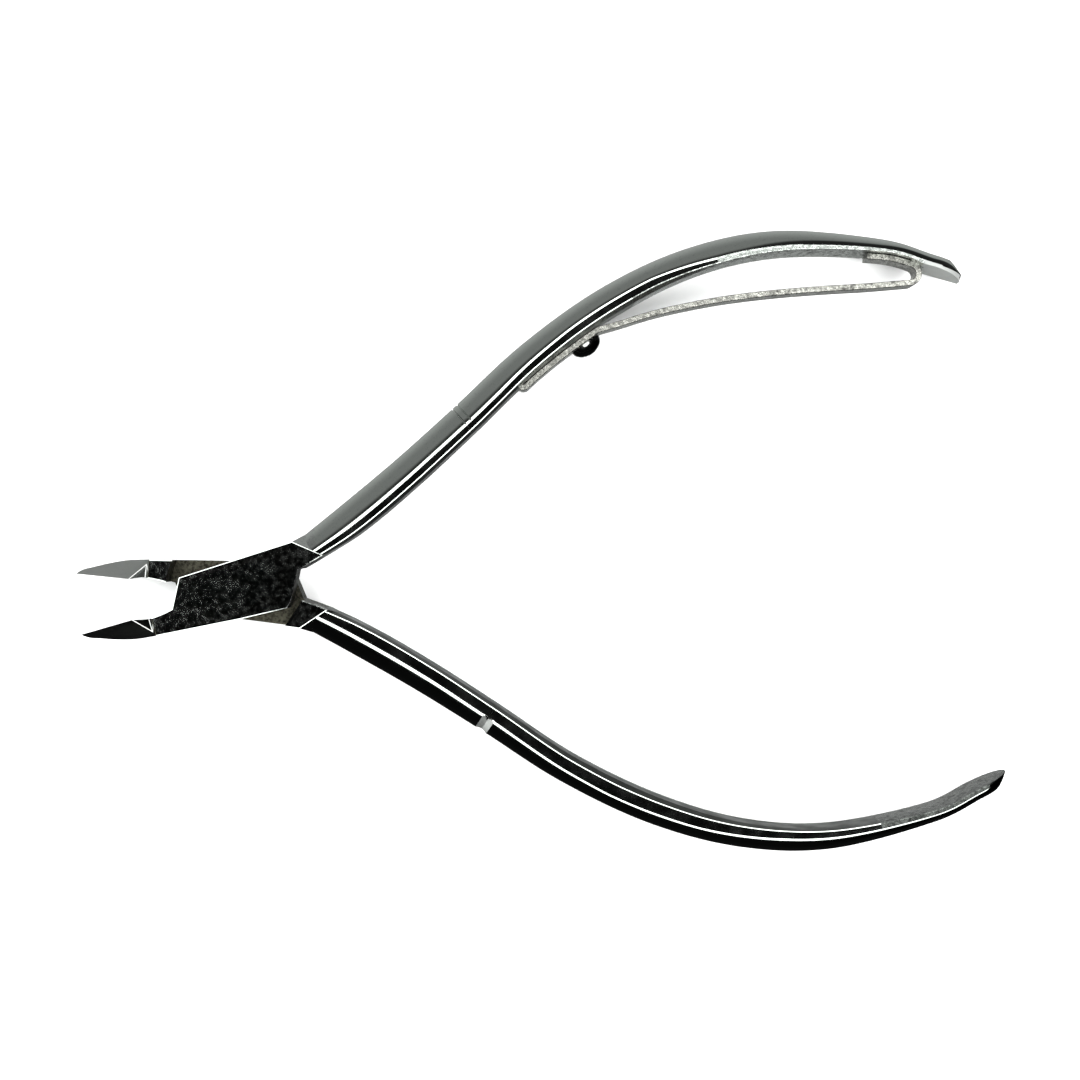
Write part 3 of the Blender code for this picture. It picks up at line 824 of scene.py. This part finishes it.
class NIPPER_OT_blanks(bpy.types.Operator):
    """Make the two jaw blanks: jaw, lap plate and the first stretch of the handle"""

    bl_idname = "nipper.blanks"
    bl_label = "Jaw blanks"

    def outline(self):
        back = through([(TIP_X, 0.0)] + [(TIP_X + behind, -drop) for behind, drop in JAW_BACK], 8)
        relief = [(HEEL_X + behind, -drop) for behind, drop in RELIEF]
        edge = through([THROAT] + relief[::-1] + [(HEEL_X, 0.0)], 8)
        inner = []
        for t in (0.1, 0.45):
            point, _, inwards, width = handle_at(t)
            inner.append(point + inwards * (width - ROOT_INSET))
        end, _, inwards, _ = handle_at(0.2)
        root, _, root_inwards, _ = handle_at(0.0)
        outer = [end + inwards * ROOT_INSET, root - root_inwards * ROOT_INSET]
        return back + PLATE_LOWER + inner + outer + [PLATE_TOP_LEFT] + edge

    def recess(self):
        crotch = Vector((PLATE_LOWER[3][0], -PLATE_LOWER[3][1]))
        corner = Vector((PLATE_LOWER[2][0], -PLATE_LOWER[2][1]))
        along = (corner - crotch).normalized()
        start = crotch + Vector((along.y, -along.x)) * SHOULDER_CLEARANCE
        low = start - along * SHOULDER_RADIUS
        high = start + along * SHOULDER_RADIUS
        shoulder = arc((0.0, 0.0), SHOULDER_RADIUS, *SHOULDER_ARC, 40)
        return shoulder + [(0.0, -SHOULDER_RADIUS), low, high, (PLATE_TOP_LEFT[0], SHOULDER_RADIUS)]

    def ground_planes(self, side, thickness):
        """The jaw's ground planes on one side, each as (point, normal into the steel)."""
        flank, heel, step = (math.radians(a) for a in (FLANK_ANGLE, HEEL_ANGLE, STEP_ANGLE))
        middle = thickness / 2
        edge_z = middle + side * EDGE_LAND / 2
        return [
            (Vector((HEEL_X, 0.0, edge_z)), Vector((0.0, -math.sin(flank), -side * math.cos(flank)))),
            (Vector((HEEL_X, 0.0, edge_z)), Vector((math.sin(heel), 0.0, -side * math.cos(heel)))),
            (Vector((STEP_X, 0.0, middle + side * middle)), Vector((math.sin(step), 0.0, -side * math.cos(step)))),
        ]

    def fillets(self, planes):
        """A narrow plane across each crease between neighbouring ground planes."""
        found = []
        for (p0, n0), (p1, n1) in zip(planes, planes[1:]):
            across = (n0 + n1).normalized()
            line = n0.cross(n1)
            on_both = (p0.dot(n0) * n1.cross(line) + p1.dot(n1) * line.cross(n0)) / line.length_squared
            found.append((on_both - across * CREASE_DEPTH, across))
        return found

    def jaw_wedge(self, side, thickness):
        planes = self.ground_planes(side, thickness)
        middle = thickness / 2
        far = middle + side * (middle + 2)
        low = (TIP_X - 2, -6.0, min(middle, far))
        high = (STEP_X + 2, 3.0, max(middle, far))
        return wedge("jaw wedge", low, high, planes + self.fillets(planes))

    def on_crease(self, centre, normal, thickness):
        """Whether a face is a narrow strip along a ground crease."""
        if centre.x > STEP_X + 0.3:
            return False
        side = 1 if normal.z > 0 else -1
        return any(normal.dot(-n) > 0.9998 for _, n in self.fillets(self.ground_planes(side, thickness)))

    def root_wedge(self, side, thickness):
        outer = handle_at(0.0)[0]
        along = (Vector(ROOT_INNER) - outer).normalized()
        slope = math.radians(ROOT_SLOPE)
        middle = thickness / 2
        far = middle + side * (middle + 2)
        down = (along.y * math.sin(slope), -along.x * math.sin(slope), -side * math.cos(slope))
        low = (3.0, -5.0, min(middle, far))
        high = (14.0, 8.0, max(middle, far))
        return wedge("root wedge", low, high, [((outer.x, outer.y, middle + side * middle), down)])

    def make(self, name, front, sizes, finish):
        thickness = sizes.joint_thickness / MM
        blank = prism(name, self.outline(), 0.0, thickness)
        paint(
            blank,
            plate_steel(finish),
            bar_finish(finish),
            recess_and_shade_finish(finish),
            inner_finish(finish) if front else painted_shade_inner_finish(finish),
            painted_shade_flank(finish) if front else flank_steel(finish),
            painted_highlight_edge_finish(finish),
        )
        for side in (1, -1):
            cut(blank, self.jaw_wedge(side, thickness))
            cut(blank, self.root_wedge(side, thickness))
        roll_rims(blank, sizes)
        ridges, marks = (FRONT_RIDGE, FRONT_MARKS) if front else (REAR_RIDGE, REAR_MARKS)
        arm = make_bar(name + " arm", 0.0, SEAM_STATION, 60, sizes, 0.0, -SEAM_GAP / 2, False, ridges, marks, float(front))
        cut(blank, arm, "UNION")
        floor_z = thickness / 2 + sizes.lap_gap / MM / 2
        cut(blank, prism(name + " recess", self.recess(), -2.0, floor_z))
        return blank, floor_z

    def on_shoulder(self, centre, normal, floor_z):
        """Whether a face is on the curved wall of the recess."""
        away = abs(centre.to_2d().length - SHOULDER_RADIUS)
        return centre.z < floor_z and abs(normal.z) < 0.1 and away < 0.05

    def in_crotch(self, centre, normal):
        """Whether a face is on an upright wall between the plate and the root of the handle."""
        return abs(normal.z) < 0.1 and CROTCH_X < centre.x < ROOT_INNER[0] and centre.y < CROTCH_TOP

    def on_painted_shade_rim(self, centre, normal, front):
        """Whether a face is on a rolled rim painted dark as shade with the recess finish: by the step, under the rear
        root.
        """
        if abs(normal.z) < 0.9:
            return False
        by_step = centre.x < STEP_X + 0.3 and normal.x < -0.12 and abs(normal.z) > 0.95
        under_root = not front and PLATE_LOWER[3][0] < centre.x < ROOT_INNER[0] and centre.y < CROTCH_TOP
        return by_step or (under_root and normal.z > 0 and normal.y < -0.1)

    def execute(self, context):
        sizes, finish = context.scene.nipper_sizes, context.scene.nipper_finish
        for front, node, body in ((True, "front_jaw_blank", "front_half"), (False, "rear_jaw_blank", "rear_half")):
            blank, floor_z = self.make(node.replace("_jaw", "") + "_skin", front, sizes, finish)
            paint_where(blank, 1, lambda c, n: c.x > ROOT_INNER[0])
            paint_where(blank, 2, lambda c, n: abs(c.z - floor_z) < 0.01 and n.z < -0.9)
            paint_where(blank, 2, lambda c, n: self.on_shoulder(c, n, floor_z))
            paint_where(blank, 2, self.in_crotch)
            # Rims by the step and under the rear root get the dark recess finish as painted shade.
            paint_where(blank, 2, lambda c, n: self.on_painted_shade_rim(c, n, front))
            # Slot 3 on the inner side: brushed on the front half, darkened as painted shade on the rear.
            paint_where(blank, 3, inner_side)
            # Slot 4 on the flank: near-black painted shade on the front half, the grey ground flank on the rear.
            paint_where(blank, 4, lambda c, n: c.x < STEP_X and 0.5 < n.y < 0.9)
            # The strips along the ground creases are painted near white as highlights.
            paint_where(blank, 5, lambda c, n: self.on_crease(c, n, sizes.joint_thickness / MM))
            if not front:
                paint_where(blank, 4, in_notch)
            blank.data.transform(placement(front, sizes))
            cut(blank, pivot_bore(sizes))
            smooth(blank)
            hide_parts(node)
            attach(blank, body)
        return {"FINISHED"}


def in_notch(centre, normal):
    """Whether a face lies in the scoop ground across the weld."""
    seam, along, _, _ = handle_at(SEAM_STATION)
    away = (centre.to_2d() - seam).dot(along)
    return abs(away) < REAR_MARKS[0][1] and abs(normal.to_2d().dot(along)) > 0.05


def ground_off(centre, normal, front):
    """Whether a face is on the inner edge that the tail's last grinding tore up."""
    if abs(normal.z) > (0.97 if front else 0.999):
        return front and centre.x > TORN_TOP_X
    _, _, inwards = off_inner_face(centre.x, 0.0)
    return normal.to_2d().dot(inwards) > 0.02


class NIPPER_OT_handles(bpy.types.Operator):
    """Make the two bar handles, from the seam to the spoon-shaped tail"""

    bl_idname = "nipper.handles"
    bl_label = "Handles"

    def execute(self, context):
        sizes, finish = context.scene.nipper_sizes, context.scene.nipper_finish
        for front, node, body in ((True, "front_handle", "front_half"), (False, "rear_handle", "rear_half")):
            ridges, marks = (FRONT_RIDGE, FRONT_MARKS) if front else (REAR_RIDGE, REAR_MARKS)
            spoon = SPOON_DEPTH if front else 0.0
            bar = make_bar(
                node + "_skin", SEAM_STATION, HANDLE_END, 130, sizes, SEAM_GAP / 2, 0.0, True, ridges, marks, spoon
            )
            # On the rear bar the inner face takes the copy darkened as painted shade.
            inner = inner_finish(finish) if front else painted_shade_inner_finish(finish)
            # The rear bar's torn edge is the darker copy, as painted shade.
            glitter = glitter_finish(finish) if front else painted_shade_glitter_finish(finish)
            paint(bar, bar_finish(finish), inner, glitter, satin_finish(finish))
            paint_where(bar, 1, inner_side)
            start, end = GLITTER[front]
            paint_where(bar, 2, lambda c, n: start < c.x < end and ground_off(c, n, front))
            if front:
                paint_where(bar, 3, lambda c, n: c.x >= end and ground_off(c, n, front))
            else:
                paint_where(bar, 3, in_notch)
            bar.data.transform(placement(front, sizes))
            smooth(bar)
            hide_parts(node)
            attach(bar, body)
        return {"FINISHED"}


class NIPPER_OT_spring(bpy.types.Operator):
    """Make the leaf spring: tang, seated base, free leg, hook and foot in one strip"""

    bl_idname = "nipper.spring"
    bl_label = "Leaf spring"

    def line(self, sizes):
        seat = SEAT_GAP + sizes.leaf_thickness / MM / 2
        corner, along, inwards = off_inner_face(TANG_X, seat)
        middle = corner + along * sizes.leaf_thickness / MM / 2
        tang_end, _, _ = off_inner_face(TANG_X, -TANG_DEPTH)
        tang_end += along * sizes.leaf_thickness / MM / 2
        turn = [
            middle + TANG_RADIUS * (along * (1 - math.cos(a)) - inwards * (1 - math.sin(a)))
            for a in (math.pi / 2 * i / 8 for i in range(9))
        ]
        base = [off_inner_face(TANG_X + 1.2 + (BEND_X - TANG_X - 1.2) * i / 40, seat)[0] for i in range(41)]
        foot = [off_inner_face(HOOK_X - FOOT_LENGTH * i / 20, seat)[0] for i in range(21)]
        _, leaving, _ = off_inner_face(HOOK_X, seat)
        start = math.radians(LEG_END_ANGLE)
        end = math.atan2(-leaving.y, -leaving.x)
        centre = foot[0] - HOOK_RADIUS * Vector((math.sin(end), -math.cos(end)))
        hook = []
        for i in range(24):
            angle = start + (end - start) * i / 24
            hook.append(centre + HOOK_RADIUS * Vector((math.sin(angle), -math.cos(angle))))
        leg = [base[-1]] + [off_inner_face(BEND_X + (HOOK_X - BEND_X) * s, drop)[0] for s, drop in LEG_SHAPE]
        return [tang_end] + turn + base[:-1] + through(leg + [hook[0]], 12)[:-1] + hook + foot

    def execute(self, context):
        sizes, finish = context.scene.nipper_sizes, context.scene.nipper_finish
        line = self.line(sizes)
        along = distances(line)
        count = 420
        stations = [(along[-1] * MM * i / count, 1.0, 1.0) for i in range(count + 1)]
        half = sizes.leaf_thickness / 2
        tall = sizes.leaf_width / 2
        corner = 0.06 * MM
        section = [
            (-half, -tall + corner),
            (-half + corner, -tall),
            (half - corner, -tall),
            (half, -tall + corner),
            (half, tall - corner),
            (half - corner, tall),
            (-half + corner, tall),
            (-half, tall - corner),
        ]
        leaf = swept("leaf_spring", section, stations)
        bend_along(leaf, line, sizes.joint_thickness / 2)
        paint(leaf, spring_finish(finish))
        leaf.data.transform(placement(True, sizes))
        smooth(leaf)
        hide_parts("spring_base", "spring_arm")
        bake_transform(leaf)
        return {"FINISHED"}


def pivot_bore(sizes):
    """The stepped hole that the pivot rivet sits in, open at the back."""
    play = sizes.pivot_clearance / MM
    shank = sizes.pivot_shank / MM / 2 + play
    head = sizes.pivot_head / MM / 2 + play
    return turned("pivot bore", [(head, -1.0), (head, 1.1 + play), (shank, 1.1 + play + 0.001), (shank, 5.1 + play)])


class NIPPER_OT_pivot(bpy.types.Operator):
    """Make the pivot rivet, with its head ground flush with the back face"""

    bl_idname = "nipper.pivot"
    bl_label = "Pivot rivet"

    def execute(self, context):
        sizes, finish = context.scene.nipper_sizes, context.scene.nipper_finish
        head = sizes.pivot_head / MM / 2
        shank = sizes.pivot_shank / MM / 2
        profile = [
            (0.25, 0.03),
            (0.34, 0.0),
            (head - 0.09, 0.0),
            (head - 0.03, 0.02),
            (head, 0.08),
            (head, 1.04),
            (head - 0.06, 1.1),
            (shank, 1.101),
            (shank, 5.0),
            (shank - 0.1, 5.1),
        ]
        rivet = turned("pivot_rivet_skin", profile)
        paint(rivet, turned_finish(finish))
        smooth(rivet)
        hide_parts("pivot_rivet")
        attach(rivet, "front_half")
        return {"FINISHED"}


class NIPPER_OT_spring_rivet(bpy.types.Operator):
    """Make the domed rivet that holds the spring, with the dimple of its punch"""

    bl_idname = "nipper.spring_rivet"
    bl_label = "Spring rivet"

    def execute(self, context):
        sizes, finish = context.scene.nipper_sizes, context.scene.nipper_finish
        seat = 2 * SEAT_GAP + sizes.leaf_thickness / MM
        head = sizes.rivet_head / MM / 2
        height = sizes.rivet_height / MM
        profile = [(0.8, -2.2), (0.8, seat), (head - 0.05, seat + 0.001), (head, seat + 0.08)]
        for i in range(1, 15):
            angle = math.pi / 2 * i / 15
            profile.append((head * math.cos(angle) * 0.98 + 0.01, seat + 0.08 + (height - 0.08) * math.sin(angle)))
        top = seat + height
        profile += [(0.42, top), (0.36, top - 0.02), (0.3, top - 0.1), (0.18, top - 0.14), (0.05, top - 0.15)]
        rivet = turned("spring_rivet_skin", profile)
        face, _, outwards = off_inner_face(SPRING_RIVET_X, 0.0)
        z = Vector((outwards.x, outwards.y, 0.0))
        y = Vector((0.0, 0.0, 1.0))
        turn = Matrix((y.cross(z), y, z)).transposed().to_4x4()
        middle = Vector((face.x * MM, face.y * MM, sizes.joint_thickness / 2))
        rivet.data.transform(placement(True, sizes) @ Matrix.Translation(middle) @ turn)
        paint(rivet, rivet_finish(finish))
        smooth(rivet)
        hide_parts("spring_rivet")
        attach(rivet, "front_half")
        return {"FINISHED"}


class NIPPER_OT_stage(bpy.types.Operator):
    """Set the camera, the plain pale floor and the soft studio light"""

    bl_idname = "nipper.stage"
    bl_label = "Stage"

    def camera(self):
        data = bpy.data.cameras.new("camera")
        data.angle = math.radians(32.97)
        data.clip_start = 0.01
        camera = bpy.data.objects.new("camera", data)
        camera.location = (33.49 * MM, 2.5 * MM, 203.0 * MM)
        camera.rotation_euler = (0.0, 0.0, math.radians(-5.11))
        bpy.context.scene.collection.objects.link(camera)
        bpy.context.scene.camera = camera

    def floor(self, finish):
        start_fresh()
        bpy.ops.mesh.primitive_plane_add(size=3.0, location=(0.03, 0.0, -0.0002))
        floor = bpy.context.object
        floor.name = "floor"
        material, tree, shader, _ = new_finish("floor")
        shader.inputs["Metallic"].default_value = 0.0
        shader.inputs["Roughness"].default_value = 0.9
        shader.inputs["Base Color"].default_value = (*finish.floor, 1.0)
        paint(floor, material)
        floor.visible_glossy = False

    def lamp(self, name, place, size, power):
        data = bpy.data.lights.new(name, "AREA")
        data.size = size
        data.energy = power
        lamp = bpy.data.objects.new(name, data)
        lamp.location = place
        lamp.rotation_euler = (-Vector(place)).to_track_quat("-Z", "Y").to_euler()
        lamp.visible_glossy = False
        bpy.context.scene.collection.objects.link(lamp)

    def sky(self):
        """A dark zone overhead, a ring of light around it, a grey wall at +Y and a dark one at -Y."""
        world = bpy.data.worlds.new("studio")
        bpy.context.scene.world = world
        world.use_nodes = True
        tree = world.node_tree
        background = tree.nodes["Background"]
        place = tree.nodes.new("ShaderNodeTexCoord")
        split = tree.nodes.new("ShaderNodeSeparateXYZ")
        tree.links.new(place.outputs["Generated"], split.inputs["Vector"])
        y, z = split.outputs["Y"], split.outputs["Z"]
        inside = ramp(tree, z, math.cos(math.radians(19)), math.cos(math.radians(16)), 1.0, 0.0)
        outside = ramp(tree, z, math.cos(math.radians(37)), math.cos(math.radians(31)))
        ring = math_node(tree, "MULTIPLY", math_node(tree, "MULTIPLY", inside, outside), 4.0)
        wall = ramp(tree, y, -0.1, 0.55, 0.006, 0.42)
        past = math_node(tree, "MAXIMUM", math_node(tree, "SUBTRACT", split.outputs["X"], 0.05), 0.0)
        height = math_node(tree, "MULTIPLY_ADD", past, 2.2, z)
        above = ramp(tree, height, 0.5, 0.76, 1.0, 0.08)
        low_sky = math_node(tree, "MULTIPLY", above, ramp(tree, z, -0.8, 0.1, 1.0, 0.55))
        nadir = ramp(tree, z, -0.97, -0.9, 0.5, 0.0)
        light = math_node(tree, "ADD", math_node(tree, "MULTIPLY_ADD", wall, low_sky, ring), nadir)
        tree.links.new(light, background.inputs["Strength"])
        background.inputs["Color"].default_value = (0.97, 1.0, 0.98, 1.0)

    def execute(self, context):
        self.camera()
        self.floor(context.scene.nipper_finish)
        self.lamp("softbox left", (-0.35, 0.2, 0.5), 0.5, 7.0)
        self.lamp("softbox right", (0.45, -0.2, 0.5), 0.5, 7.0)
        self.sky()
        context.scene.view_settings.view_transform = "Standard"
        return {"FINISHED"}


class NIPPER_PT_sidebar(bpy.types.Panel):
    bl_idname = "NIPPER_PT_sidebar"
    bl_label = "Cuticle nipper"
    bl_space_type = "VIEW_3D"
    bl_region_type = "UI"
    bl_category = "Nipper"

    def draw(self, context):
        for operator in OPERATORS:
            self.layout.operator(operator.bl_idname)
        for settings in (context.scene.nipper_sizes, context.scene.nipper_finish):
            box = self.layout.box()
            for name in settings.__annotations__:
                box.prop(settings, name)


OPERATORS = (
    NIPPER_OT_blanks,
    NIPPER_OT_handles,
    NIPPER_OT_pivot,
    NIPPER_OT_spring,
    NIPPER_OT_spring_rivet,
    NIPPER_OT_stage,
)
CLASSES = (NipperSizes, NipperFinish, *OPERATORS, NIPPER_PT_sidebar)


def register():
    for item in CLASSES:
        bpy.utils.register_class(item)
    bpy.types.Scene.nipper_sizes = bpy.props.PointerProperty(type=NipperSizes)
    bpy.types.Scene.nipper_finish = bpy.props.PointerProperty(type=NipperFinish)


def unregister():
    del bpy.types.Scene.nipper_finish
    del bpy.types.Scene.nipper_sizes
    for item in reversed(CLASSES):
        bpy.utils.unregister_class(item)


def main():
    register()
    bpy.ops.nipper.blanks()
    bpy.ops.nipper.handles()
    bpy.ops.nipper.pivot()
    bpy.ops.nipper.spring()
    bpy.ops.nipper.spring_rivet()
    bpy.ops.nipper.stage()


if __name__ == "__main__":
    main()
